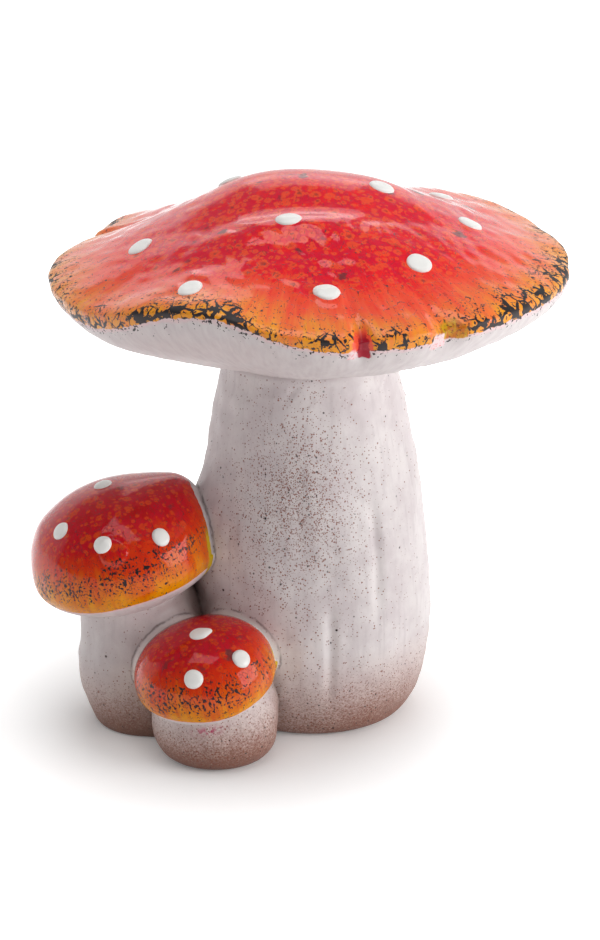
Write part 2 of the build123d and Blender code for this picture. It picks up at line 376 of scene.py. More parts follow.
def stem_grid(m, height, segments):
    """Rings round a stem at heights: levels, bearings, middles, directions outward and along the axis."""
    level, around = np.meshgrid(height, bearings(segments), indexing="ij")
    origin, across, along, axis = axis_frame(m, level)
    turn = np.radians(around)[..., None]
    return level, around, origin, np.cos(turn) * across + np.sin(turn) * along, axis


def stem_skin(m):
    """Outer skin of a stem with its hand-made unevenness: rings of points, their heights and bearings."""
    fine = m.stem_height * np.linspace(0, 1, STEM_SAMPLES) ** 2
    wide = stem_radius(m, fine)
    length = np.sum(np.hypot(np.diff(wide), np.diff(fine)))
    radius, height, _ = resample(wide, fine, int(length / STEM_SPACING))
    level, around, origin, outward, axis = stem_grid(m, height, STEM_SEGMENTS[m.name])
    reach = np.broadcast_to(radius[:, None], level.shape).copy()
    plain = origin + reach[..., None] * outward
    settled = step(level, 0, FOOT_SETTLE)
    reach += STEM_SOFTNESS[m.name] * settled * ripple(plain, *STEM_WAVES)
    reach += SKIN_SOFTNESS * settled * ripple(plain, *SKIN_WAVES)
    if m is large:
        for groove in GROOVES:
            reach -= groove_depth(around, level, groove)
        reach += neck_marks(around, level, radius[:, None])
    points = origin + reach[..., None] * outward
    if m is large:
        points[..., 2] += NECK_RAISE * step(level, NECK_RAISE_FROM, m.stem_height)
    if m is medium:
        aim, half, middle, tall, depth = SAG
        sagged = depth * about(around, aim, half) * bell(level - middle, tall)
        points += outward * sagged[..., None]
    tuck = points[-1:] + axis[-1:] * (SLIP + NECK_TUCK) - outward[-1:] * NECK_TUCK
    rows = [np.concatenate([values, values[-1:]]) for values in (level, around)]
    return np.concatenate([points, tuck]), *rows


def stem_bore(m, segments):
    """Inside of a stem, from the neck down to the foot."""
    height = m.stem_height * np.linspace(1, 0, INNER_RINGS) ** INNER_POWER
    radius = stem_radius(m, height) - m.stem_wall
    _, _, origin, outward, _ = stem_grid(m, height, segments)
    return origin + radius[:, None, None] * outward


# Caps

CAP_SEGMENTS = {"large": 500, "medium": 300, "small": 260}
CAP_UNDER_RINGS = {"large": 56, "medium": 26, "small": 20}
CAP_TOP_RINGS = {"large": 110, "medium": 80, "small": 64}
CAVITY_RINGS = 16
CROWN_HOLE = 0.25              # radius of the smallest ring round a crown
PROFILE_SAMPLES = 4000

# Pinched bites in the large rim: bearing, half width in degrees, depth inward, drop
NOTCHES = ((281.2, 1.3, 4.2, 2.2), (300.6, 2.4, 3.4, 2.0))
NOTCH_REACH = 7.0              # how far from the rim a bite reaches
NOTCH_DROP_REACH = 6.0         # and its drop
# Creases that run in from the bites and from the tear: bearing, half width, depth, reach from the rim
CREASES = ((280.4, 0.9, 1.0, 30), (299.0, 1.0, 0.9, 30), (284.5, 0.8, 0.35, 18), (262.0, 2.2, 0.35, 36),
           (157.0, 1.3, 1.2, 44))
# The tear at the back left: the brim behind it stands over the brim before it
TEAR_LINE = 155.0
TEAR_LIFT = 1.5
TEAR_REACH = 17.0
TEAR_FLAP = 14.0                     # half width of the raised brim in degrees
TEAR_BITE = (155.0, 5.0, 2.2, 9.0)   # bearing, half width in degrees, depth inward, reach from the rim
# Finer waves of the large brim: bearing, half width in degrees, lift
BRIM = ((252.0, 8.0, 3.0), (223.0, 10.0, -2.8))
# Crown of the large cap: hollows and rises at level places from the axis, spreads and height
TROUGH = (2.0, -25.0, 30.0, 7.5, -2.4)
RIDGE = (-2.0, -39.0, 28.0, 7.0, 1.6)
CROWN_LIFT = (4.0, 6.0, 26.0, 16.0, 0.8)
LEFT_SHOULDER = (-24.0, 8.0, 15.0, 16.0, 2.0)
RIGHT_SHOULDER = (30.0, 8.0, 10.0, 12.0, 1.2)
BACK_SWELL = (54.0, 64.0, 18.0, 10.0, 2.2)
CROWN = (TROUGH, RIDGE, CROWN_LIFT, LEFT_SHOULDER, RIGHT_SHOULDER, BACK_SWELL)
# Underside of the large cap: fuller by the rim, drawn up by the neck. Bulges: bearing, half width,
# distance from the rim, spread, depth
UNDER_BULGES = ((205.0, 38.0, -18.0, 11.0, 0.8), (350.0, 22.0, -6.0, 5.0, 1.3))
UNDER_RAISE = (94.0, 38.0, 3.6)    # radii where it begins and is full, height
# Shoulder of the medium cap, where slip fills the corner to the large stem, given like the crown's rises
SHOULDER = (38.0, 12.0, 12.0, 18.0, 7.8)
SHOULDER_START = 8.0           # distance from the rim where it is full
SHOULDER_SLIP = (38.0, 12.0, 9.0, 15.0, 6.0)   # white slip on that shoulder
# Brim of the small cap, sunk at the front: bearing, half width in degrees, drop
DROOP = (288.0, 36.0, 4.2)
DROOP_POWER = 5                # how quickly that dies away from the rim
# Cast warts that the painter's dots missed: mushroom, bearing, share of the radius, radius, height
WARTS = (("large", 275.5, 0.785, 5.6, 0.6), ("medium", 273.5, 0.865, 5.8, 1.0))
WART_EDGE = (0.82, 1.04)       # shares of a wart's radius between which it falls off
# Unevenness of a cap's skin: height, and wavelength with seed of its waves
CAP_SOFTNESS = 0.22
CAP_WAVES = (26.0, 21)
CAP_GRAIN = {"large": 0.07, "medium": 0.03, "small": 0.03}
GRAIN_WAVES = (7.0, 22)
CAP_SETTLE = 8.0               # distance from the neck over which it sets in
# Brush lines on the white underside, their wavelength as a share of the radius
BRUSH_DEPTH = 0.03
BRUSH_WAVES = (0.05, 23)
BRUSH_WAVE_COUNT = 40
BRUSH_RUN = 0.0012             # how quickly they change along the radii
BRUSH_SLANT = 0.4              # turn of those lines, in degrees per millimetre


def hump(x, y, spot):
    """Oval rise or hollow at a level place."""
    middle_x, middle_y, spread_x, spread_y, height = spot
    return height * bell(x - middle_x, spread_x) * bell(y - middle_y, spread_y)


def large_relief(radius, from_rim, bearing):
    """Lift and inward pinch of the large cap's top and lip."""
    x = radius * np.cos(np.radians(bearing))
    y = radius * np.sin(np.radians(bearing))
    top = step(from_rim, -2, 2)
    inner = np.clip(from_rim, 0, None)
    lift = sum(hump(x, y, spot) for spot in CROWN) * top
    inward = np.zeros_like(lift)
    for centre, width, depth, drop in NOTCHES:
        bite = about(bearing, centre, width)
        inward += depth * bite * bell(from_rim, NOTCH_REACH)
        lift -= drop * bite * bell(inner, NOTCH_DROP_REACH) * top
    for centre, width, depth, reach in CREASES:
        lift -= depth * about(bearing, centre, width) * bell(inner, reach / 2) * top
    before = turn_between(bearing, TEAR_LINE)
    flap = step(-before, -0.7, 0.7) * bell(np.clip(-before, 0, None), TEAR_FLAP)
    torn = bell(inner, TEAR_REACH / 2) * step(from_rim, -10, 0)
    lift += TEAR_LIFT * flap * torn
    centre, width, depth, reach = TEAR_BITE
    inward += depth * about(bearing, centre, width) * bell(from_rim, reach)
    for centre, width, height in BRIM:
        lift += height * about(bearing, centre, width) * brim_share(large, radius)
    return lift, inward


def under_raise(radius):
    """How far the large cap's underside is drawn up."""
    begin, full, height = UNDER_RAISE
    return height * step(radius, begin, full)


def brush_lines(around, from_rim):
    """Unevenness of about unit height that runs along the radii."""
    turn = np.radians(around + BRUSH_SLANT * from_rim)
    places = np.stack([np.cos(turn), np.sin(turn), from_rim * BRUSH_RUN], axis=-1)
    return ripple(places, *BRUSH_WAVES, BRUSH_WAVE_COUNT)


def top_place(m, share, bearing):
    """Point on the plain top of a cap."""
    radius = np.array(m.cap_radius * share)
    height = np.array(m.rim_height + m.cap_rise * dome(m, share))
    return cap_places(m, radius, height, np.array(float(bearing)))


def cap_skin(m):
    """Outer skin of a cap from the neck over the rim to the crown, with arc lengths from the rim."""
    under_r, under_z = under_profile(m, m.neck_radius, 0, m.cap_radius, PROFILE_SAMPLES)
    top_r, top_z = top_profile(m, m.cap_radius, m.cap_rise, PROFILE_SAMPLES)
    under_length = np.sum(np.hypot(np.diff(under_r), np.diff(under_z)))
    r_a, z_a, s_a = resample(under_r, under_z, CAP_UNDER_RINGS[m.name], near=under_length)
    keep = top_r >= CROWN_HOLE
    r_b, z_b, s_b = resample(top_r[keep], top_z[keep], CAP_TOP_RINGS[m.name], near=0.0)
    radius = np.concatenate([[m.neck_radius - NECK_TUCK], r_a, r_b[1:]])
    height = np.concatenate([[-SLIP - NECK_TUCK], z_a, z_b[1:]])
    from_rim = np.concatenate([[-under_length - NECK_TUCK], s_a - under_length, s_b[1:]])
    from_rim, around = np.meshgrid(from_rim, bearings(CAP_SEGMENTS[m.name]), indexing="ij")
    radius = np.broadcast_to(radius[:, None], around.shape)
    height = np.broadcast_to(height[:, None], around.shape)
    lift = np.zeros(around.shape)
    inward = np.zeros(around.shape)
    if m is large:
        lift, inward = large_relief(radius, from_rim, around)
    if m is medium:
        turn = np.radians(around)
        lift = hump(radius * np.cos(turn), radius * np.sin(turn), SHOULDER)
        lift *= step(from_rim, 0, SHOULDER_START)
    if m is small:
        aim, half, drop = DROOP
        lift = -drop * about(around, aim, half) * (radius / m.cap_radius) ** DROOP_POWER
    points = cap_places(m, radius - inward, height + lift, around)
    normals = grid_normals(points)
    rough = CAP_SOFTNESS * ripple(points, *CAP_WAVES) + CAP_GRAIN[m.name] * ripple(points, *GRAIN_WAVES)
    below = step(from_rim, -1, -4)
    rough += BRUSH_DEPTH * below * brush_lines(around, from_rim)
    if m is large:
        for aim, half, centre, spread, depth in UNDER_BULGES:
            rough += depth * about(around, aim, half) * bell(from_rim - centre, spread)
        points[..., 2] += under_raise(radius) * (from_rim < 0)
    rough *= step(radius, m.neck_radius, m.neck_radius + CAP_SETTLE)
    points = points + normals * rough[..., None]
    for owner, bearing, share, wart_radius, wart_height in WARTS:
        if owner == m.name:
            middle = top_place(m, share, bearing)
            away = np.linalg.norm(points - middle, axis=-1) / wart_radius
            points = points + normals * (wart_height * (1 - step(away, *WART_EDGE)))[..., None]
    return points, from_rim, around


def cap_cavity(m):
    """Inside of a cap, from the crown out and back to the neck."""
    edge = m.cap_radius - m.rim_band
    top_r, top_z = top_profile(m, edge, m.cap_rise - m.cap_wall, PROFILE_SAMPLES)
    under_r, under_z = under_profile(m, m.neck_radius - m.cap_wall / 2, m.cap_wall, edge, PROFILE_SAMPLES)
    keep = top_r >= CROWN_HOLE
    r_a, z_a, _ = resample(top_r[keep][::-1], top_z[keep][::-1], CAVITY_RINGS)
    r_b, z_b, _ = resample(under_r[::-1], under_z[::-1], CAVITY_RINGS)
    bore = m.neck_radius - m.cap_wall
    radius = np.concatenate([r_a, r_b[1:], [bore, bore]])
    height = np.concatenate([z_a, z_b[1:], [m.cap_wall, 0.0]])
    radius, around = np.meshgrid(radius, bearings(CAP_SEGMENTS[m.name]), indexing="ij")
    height = np.broadcast_to(height[:, None], around.shape).copy()
    if m is large:
        height[len(r_a):] += under_raise(radius[len(r_a):])
    return cap_places(m, radius, height, around)


# How castings meet

FILLET = 10.0                  # reach of the slip that was smoothed into the corner of two stems
LIP_FILLET = 9.0               # the same where a stem meets another mushroom's cap
SHOULDER_FILLET = 16.0         # the same where the medium cap leans on the large stem
NECK_FILLET = {"large": 5.0, "medium": 5.0, "small": 4.0}
BED_DEPTH = 1.2                # how far a casting reaches into the skin of the one that carries it
BED_WALL = 2.5                 # wall left where a casting is cut back

BEDS = {"large_stem": (), "medium_stem": ("large_stem",), "small_stem": ("large_stem", "medium_stem"),
        "large_cap": (), "medium_cap": ("large_stem",), "small_cap": ("large_stem", "medium_stem")}
TOUCHES = {"large_stem": ("medium_stem", "small_stem", "medium_cap", "small_cap", "large_cap"),
           "medium_stem": ("large_stem", "small_stem", "small_cap", "medium_cap"),
           "small_stem": ("large_stem", "medium_stem", "small_cap"),
           "large_cap": ("large_stem",), "medium_cap": ("large_stem", "medium_stem"),
           "small_cap": ("large_stem", "medium_stem", "small_stem")}

skins = {}
for m in MUSHROOMS:
    skins[f"{m.name}_stem"] = stem_skin(m)
    skins[f"{m.name}_cap"] = cap_skin(m)
trees = {name: tree_of(skin[0]) for name, skin in skins.items()}


def joined_skin(name):
    """Skin of a casting drawn out into fillets and cut back to its beds, with its clearance from all
    others, from stem to stem and from stem to cap."""
    points, along, _ = skins[name]
    normals = grid_normals(points)
    owner, kind = name.split("_")
    least = np.full(points.shape[:-1], FARTHEST)
    corner = least.copy()
    lip = least.copy()
    offset = np.zeros(points.shape[:-1])
    for other in TOUCHES[name]:
        distance, _ = clearance(points, trees[other])
        if other.startswith(owner):
            reach = NECK_FILLET[owner]
        else:
            least = np.minimum(least, distance)
            reach = LIP_FILLET
            if kind == "stem" and other.endswith("_stem"):
                corner = np.minimum(corner, distance)
                reach = FILLET
            elif kind == "stem":
                lip = np.minimum(lip, distance)
            if (name, other) == ("large_stem", "medium_cap"):
                reach = SHOULDER_FILLET
        near = np.clip(1 - np.clip(distance, 0, None) / reach, 0, 1)
        drawn = near**2 * reach / 4
        if kind == "cap":
            drawn = drawn * (along < -1.0)
        offset = np.maximum(offset, drawn)
    points = points + normals * offset[..., None]
    if kind == "stem":
        points[..., 2] = np.where(along < 0.01, 0.0, np.maximum(points[..., 2], 0.0))
    for other in BEDS[name]:
        distance, outward = clearance(points, trees[other])
        points = points + outward * np.clip(-BED_DEPTH - distance, 0, None)[..., None]
    return points, least, corner, lip


def cut_back(points, name):
    """Inside of a casting, held clear of the beds on its neighbours."""
    for other in BEDS[name]:
        distance, outward = clearance(points, trees[other])
        points = points + outward * np.clip(BED_WALL - BED_DEPTH - distance, 0, None)[..., None]
    return points


# Materials

def srgb(red, green, blue):
    """Linear colour from 8-bit values."""
    values = np.array([red, green, blue]) / 255
    linear = np.where(values <= 0.04045, values / 12.92, ((values + 0.055) / 1.055) ** 2.4)
    return (*linear.tolist(), 1.0)


class Value:
    """Output of a node, open to plain arithmetic."""

    def __init__(self, nodes, socket):
        self.nodes = nodes
        self.socket = socket

    def __add__(self, other):
        return self.nodes.math("ADD", self, other)

    def __sub__(self, other):
        return self.nodes.math("SUBTRACT", self, other)

    def __mul__(self, other):
        return self.nodes.math("MULTIPLY", self, other)

    def __truediv__(self, other):
        return self.nodes.math("DIVIDE", self, other)

    def __abs__(self):
        return self.nodes.math("ABSOLUTE", self)

    def rest(self):
        """What is left to 1."""
        return self.nodes.math("SUBTRACT", 1.0, self)

    def at_least(self, other):
        return self.nodes.math("MAXIMUM", self, other)

    def at_most(self, other):
        return self.nodes.math("MINIMUM", self, other)

    def swing(self, amount):
        """Noise turned into a swing of plus and minus half the amount."""
        return self * amount - amount / 2

    def between(self, low, high):
        """Smooth step from 0 at low to 1 at high."""
        feeds = dict(enumerate((self, low, high, 0.0, 1.0)))
        return self.nodes.node("ShaderNodeMapRange", feeds, interpolation_type="SMOOTHSTEP")

    def beside(self, output):
        """Another output of the same node."""
        return Value(self.nodes, self.socket.node.outputs[output])


class Nodes:
    """Short calls for the nodes of a tree. Sizes are in millimetres."""

    def __init__(self, tree):
        self.tree = tree
        self.place = None

    def feed(self, node, feeds):
        """Link or set inputs of a node, by their names or places."""
        for key, value in feeds.items():
            if isinstance(value, Value):
                self.tree.links.new(value.socket, node.inputs[key])
            else:
                node.inputs[key].default_value = value

    def node(self, kind, feeds, output=0, **settings):
        """One output of a new node."""
        node = self.tree.nodes.new(kind)
        for key, value in settings.items():
            setattr(node, key, value)
        self.feed(node, feeds)
        return Value(self, node.outputs[output])

    def attribute(self, name):
        return self.node("ShaderNodeAttribute", {}, "Fac", attribute_name=name)

    def math(self, operation, *values):
        return self.node("ShaderNodeMath", dict(enumerate(values)), operation=operation)

    def vector(self, operation, *values):
        return self.node("ShaderNodeVectorMath", dict(enumerate(values)), operation=operation)

    def scaled(self, vector, factor):
        return self.node("ShaderNodeVectorMath", {0: vector, "Scale": factor}, operation="SCALE")

    def mix(self, share, a, b):
        return self.node("ShaderNodeMix", {0: share, 6: a, 7: b}, 2, data_type="RGBA")

    def ramp(self, value, stops):
        colour = self.node("ShaderNodeValToRGB", {0: value})
        elements = colour.socket.node.color_ramp.elements
        while len(elements) < len(stops):
            elements.new(0.5)
        for element, (position, tint) in zip(elements, stops):
            element.position = position
            element.color = tint
        return colour

    def noise(self, size, detail=2.0, roughness=0.5, place=None, output="Fac"):
        """Noise with features of about a size."""
        feeds = {"Vector": place or self.place, "Scale": 1 / (size * MM)}
        feeds |= {"Detail": detail, "Roughness": roughness}
        return self.node("ShaderNodeTexNoise", feeds, output)

    def warped(self, size, amount, place=None):
        """Places pushed about by noise."""
        push = self.vector("SUBTRACT", self.noise(size, place=place, output="Color"), (0.5, 0.5, 0.5))
        return self.vector("ADD", place or self.place, self.scaled(push, amount * MM))

    def cells(self, size, place=None, feature="F1"):
        """Distance from the middles of cells of about a size."""
        feeds = {"Vector": place or self.place, "Scale": 1 / (size * MM)}
        return self.node("ShaderNodeTexVoronoi", feeds, "Distance", feature=feature)

    def lucky_cells(self, size, place=None):
        """The same, with three random numbers for each cell."""
        distance = self.cells(size, place)
        luck = self.node("ShaderNodeSeparateColor", {0: distance.beside("Color")})
        return distance, luck, luck.beside(1), luck.beside(2)

    def bump(self, height, depth, strength=1.0, under=None):
        """Bump of a depth, over another bump."""
        feeds = {"Distance": depth * MM, "Strength": strength, "Height": height}
        if under is not None:
            feeds["Normal"] = under
        return self.node("ShaderNodeBump", feeds)


class Look(Nodes):
    """A material with one shader."""

    def __init__(self, name):
        self.material = bpy.data.materials.new(name)
        self.material.use_nodes = True
        super().__init__(self.material.node_tree)
        self.place = self.node("ShaderNodeTexCoord", {}, "Object")

    def finish(self, feeds):
        """The material, with the inputs of its shader fed."""
        self.feed(self.tree.nodes["Principled BSDF"], feeds)
        return self.material


WHITE = (1.0, 1.0, 1.0, 1.0)
BLACK = srgb(26, 25, 27)
CRIMSON = srgb(216, 12, 50)
RED = srgb(238, 24, 30)
DEEP_RED = srgb(196, 6, 14)
CELL_ORANGE = srgb(242, 82, 42)
CELL_DARK = srgb(104, 46, 30)
BLOTCH = srgb(66, 52, 54)
ORANGE_RED = srgb(242, 86, 58)
ORANGE = srgb(242, 128, 56)
YELLOW = srgb(240, 156, 34)
EDGE_YELLOW = srgb(216, 178, 14)
AMBER = srgb(232, 148, 6)
RUST = srgb(220, 108, 6)
VERMILION = srgb(212, 54, 6)
WINE = srgb(172, 2, 10)
EMBER = srgb(216, 70, 12)
FACET_BROWN = srgb(196, 104, 18)
LILAC_WHITE = srgb(224, 216, 215)
LILAC_GREY = srgb(208, 197, 198)
LILAC_SHADE = srgb(184, 172, 174)
LIP_PINK = srgb(232, 204, 206)
BISQUE = srgb(205, 190, 172)
POOL_RED = srgb(168, 6, 40)
CHIP_PINK = srgb(238, 212, 214)
OLIVE = srgb(204, 158, 20)
SPRAY_TAN = srgb(182, 128, 104)
SPRAY_BROWN = srgb(118, 68, 48)
DROP_BROWN = srgb(132, 70, 48)
DROP_BLACK = srgb(52, 38, 36)
# Colour of the painted shade in the crevices and of the dark line along the wiped slip
DARK_LINE = srgb(72, 58, 54)
# Colour of the brown spray and painted shade in the corners between stems
CORNER_BROWN_SHADE = srgb(128, 98, 84)
SLIP_WHITE = srgb(232, 226, 222)
SMEAR_PINK = srgb(178, 54, 92)
ENAMEL_WHITE = srgb(244, 243, 240)
ENAMEL_SHADE = srgb(232, 231, 227)

GLAZE_IOR = 1.56
DARK_SHEEN = (0.5, 0.36, 0.36, 1.0)
GLAZE_SHEEN = {"large": (0.6, 0.5, 0.5, 1.0), "medium": DARK_SHEEN, "small": DARK_SHEEN}


@dataclass
class CapLook:
    """Glaze of one cap, in millimetres along its skin."""
    wrap: float                # how far the coloured glaze reaches round the rim
    wander: float              # unevenness of its edge
    fade: float                # from that edge in to the full red
    cell: float                # size of the paler cells
    net: float                 # size of the islands in the black net
    fleck: float               # strength of fine dark flecks in the red
    line: float                # thickness of the black net, as a share of its islands
    dust: float                # density of the black specks
    grain: float               # size of their pattern
    bare: float                # width of the white slip that shows beside a stem
    cells: float               # share of the cells that show
    depth: float               # share of deep red in the ground
    ground: tuple              # colours from the rim inwards
    paler: tuple               # colour of the cells


DARK_GROUND = (AMBER, RUST, VERMILION, DEEP_RED)
CAP_LOOKS = {
    "large": CapLook(
        wrap=1.0, wander=3.6, fade=43.0, cell=3.4, net=4.4, fleck=0.25, line=0.12, dust=0.125, grain=1.35,
        bare=0.0, cells=1.0, depth=0.0, ground=(YELLOW, ORANGE, ORANGE_RED, RED), paler=CELL_ORANGE),
    "medium": CapLook(
        wrap=5.5, wander=1.0, fade=31.0, cell=2.8, net=3.4, fleck=0.5, line=0.0, dust=0.165, grain=1.1,
        bare=2.6, cells=0.62, depth=0.6, ground=DARK_GROUND, paler=EMBER),
    "small": CapLook(
        wrap=4.5, wander=1.0, fade=27.0, cell=2.6, net=3.0, fleck=0.5, line=0.0, dust=0.155, grain=1.1,
        bare=3.0, cells=0.75, depth=0.5, ground=DARK_GROUND, paler=EMBER)}
GROUND_STOPS = (0.0, 0.22, 0.52, 0.86)   # places of the ground's colours between the edge and the full red
# Layers of cells: size beside the common one, share that shows, share of those with a dark heart
CELL_LAYERS = ((0.62, 0.5, 0.0), (1.0, 0.72, 0.22), (1.6, 0.42, 0.5))
# Bites of the large rim: bearing, half width, lowest and highest place from the edge of the glaze, colour
RIM_PATCHES = ((281.0, 4.4, -0.5, 13.0, ORANGE_RED), (281.4, 2.7, -4.5, 10.5, POOL_RED),
               (301.4, 6.8, -1.5, 10.0, OLIVE), (279.0, 2.2, -4.5, 1.5, CHIP_PINK),
               (298.2, 4.0, -4.5, 4.5, CHIP_PINK))


def cap_glaze(m):
    """Glossy reactive red glaze that breaks to orange, yellow and black towards the rim."""
    style = CAP_LOOKS[m.name]
    look = Look(f"{m.name}_cap_glaze")
    ring_x = look.attribute("ring_x")
    ring_y = look.attribute("ring_y")
    rim = look.attribute("from_rim") + style.wrap

    def along_radii(stretch):
        """Places whose noise runs out along the radii, the more the smaller the stretch."""
        spread = look.node("ShaderNodeCombineXYZ", {0: ring_x, 1: ring_y, 2: rim * stretch})
        return look.scaled(spread, MM)

    # Ground colour from the rim inwards, drawn out into brush strokes
    brush = look.noise(1.5, detail=3, roughness=0.6, place=along_radii(0.1))
    broad = look.noise(7.0, place=along_radii(0.22))
    ragged = brush.swing(0.5) + broad.swing(0.55) + look.noise(10, detail=3).swing(0.5)
    inwards = rim / style.fade + ragged
    colour = look.ramp(inwards, tuple(zip(GROUND_STOPS, style.ground)))
    redness = inwards.between(0.7, 1.05)
    deep = look.noise(5.5, detail=4, roughness=0.6).between(0.34, 0.54)
    colour = look.mix(deep * redness * 0.9, colour, CRIMSON)
    colour = look.mix(redness * style.depth, colour, WINE)

    # Cells of paler glaze, some with a dark heart
    inside_red = inwards.between(0.45, 0.8)
    pushed = look.warped(2.4, 1.6)
    for size, share, hearts in CELL_LAYERS:
        distance, luck_size, luck_show, luck_heart = look.lucky_cells(style.cell * size, pushed)
        away = distance / (luck_size * 0.24 + 0.3)
        disc = away.between(1.15, 0.75) * (away.between(0.0, 0.7) * 0.45 + 0.55)
        missing = 1 - share * style.cells
        shown = luck_show.between(missing - 0.03, missing + 0.03) * inside_red
        colour = look.mix(disc * shown * 0.75, colour, style.paler)
        heart = away.between(0.6, 0.2) * luck_heart.between(1 - hearts, 1.02 - hearts)
        colour = look.mix(heart * shown * 0.55, colour, CELL_DARK)

    # Grey smudges and fine flecks where iron came through
    grain = look.noise(0.9, detail=3, roughness=0.65)
    smudge = look.noise(7.0, detail=5, roughness=0.66).between(0.61, 0.7)
    distance, luck_size, luck_show, _ = look.lucky_cells(16.0, look.warped(5.0, 7.0))
    reach = luck_size * 0.12 + 0.08
    blot = (distance + grain.swing(0.16)).between(reach + 0.06, reach) * luck_show.between(0.55, 0.58)
    iron = (smudge * 0.55).at_least(blot * 0.75)
    colour = look.mix(iron * inside_red, colour, BLOTCH)
    fleck = grain.between(0.58, 0.66)
    colour = look.mix(fleck * inside_red * style.fleck, colour, CELL_DARK)

    # Black breaks: specks, and where there are most of them a net round islands of colour
    aimed = look.attribute("soot")
    patch = look.noise(9.0).between(0.32, 0.66)
    soot = (aimed * (patch * 0.75 + 0.45)).at_most(1.0)
    fine = look.noise(style.grain, roughness=0.6, place=along_radii(0.9))
    level = soot.between(0.0, 0.55) * -style.dust + 0.7
    specks = (fine - level).between(0.0, 0.02)
    border = look.cells(style.net, look.warped(3.0, 1.6, along_radii(0.9)), "DISTANCE_TO_EDGE")
    gaps = look.noise(5.0, place=along_radii(0.9)).between(0.3, 0.62)
    width = soot.between(0.42, 0.8) * (gaps + 0.35) * style.line
    net = (width - (border + fine.swing(0.16))).between(-0.015, 0.02)
    edge = rim + look.noise(4.5, detail=4, roughness=0.6).swing(style.wander)
    black = net.at_least(specks) * edge.between(-0.9, -0.2)
    colour = look.mix(black, colour, BLACK)

    # White underside with a pinkish lip and stray specks
    under = edge.between(0.0, -0.35)
    strokes = look.noise(2.2, detail=3, place=along_radii(0.3))
    pale = look.mix(strokes.between(0.1, 0.8), LILAC_GREY, LILAC_WHITE)
    pale = look.mix(edge.between(-2.6, -0.4), pale, LIP_PINK)
    stray = (fine - (edge * -0.02 + 0.57)).between(0.0, 0.025) * aimed.between(0.45, 0.8)
    pale = look.mix(stray, pale, BLACK)
    colour = look.mix(under, colour, pale)

    # Where the cap beds on a stem, white slip, with yellow glaze beside it low on the cap
    near = look.attribute("contact") + look.noise(3.0).swing(1.4)
    bare = near.between(style.bare + 0.3, style.bare)
    low_down = rim.between(style.fade * 0.42, style.fade * 0.3)
    gold = near.between(style.bare + 3.0, style.bare + 2.4) * low_down
    colour = look.mix(gold, colour, EDGE_YELLOW)
    colour = look.mix(bare, colour, LILAC_WHITE)
    black = black * gold.at_least(bare).rest()

    # Pools and chips in the bites of the large rim, the last chip matt
    chip = 0.0
    if m is large:
        ragged_edge = look.noise(2.0, detail=3).swing(2.4)
        speckle = grain.between(0.56, 0.64) * 0.75
        for bearing, half, low, high, tint in RIM_PATCHES:
            turn = np.radians(bearing)
            along = ring_y * np.cos(turn) - ring_x * np.sin(turn)
            front = ring_y * np.sin(turn) + ring_x * np.cos(turn)
            taper = rim.between(low, high) * (-0.5 * half) + half
            share = (taper - abs(along + ragged_edge)).between(-0.3, 0.3) * front.between(0.0, 50.0)
            share = share * edge.between(low, low + 0.8) * edge.between(high, 0.65 * high + 0.35 * low)
            if tint is OLIVE:
                facet = look.mix(strokes.between(0.4, 0.6), OLIVE, FACET_BROWN)
                tint = look.mix(speckle, facet, BLACK)
            elif tint is CHIP_PINK:
                tint = look.mix(speckle, CHIP_PINK, RED)
                chip = share
            colour = look.mix(share, colour, tint)
            black = black * share.rest()

    inside = look.attribute("inside")
    matt = under.at_least(bare).at_least(inside.at_least(chip))
    gloss = black * 0.25 + inwards.between(0.6, 0.0) * 0.22 + 0.05
    swell = look.bump(look.noise(5.0), 0.15, 0.3)
    ridges = look.bump(brush, 0.06, 0.3, swell)
    return look.finish({
        "Base Color": look.mix(inside, colour, BISQUE), "Roughness": gloss.at_least(matt * 0.5),
        "Normal": look.bump(black, 0.1, 0.5, ridges), "IOR": GLAZE_IOR, "Specular Tint": GLAZE_SHEEN[m.name]})


SLIP_LINE = 2.7                # distance from another mushroom's cap where a dark line lies along the wiped slip
# Drops of spray: size of their cells, greatest radius in them, share that shows, colour
DROPS = ((0.55, 0.44, 1.0, DROP_BROWN), (0.85, 0.38, 1.0, DROP_BROWN), (1.5, 0.22, 0.5, DROP_BLACK))


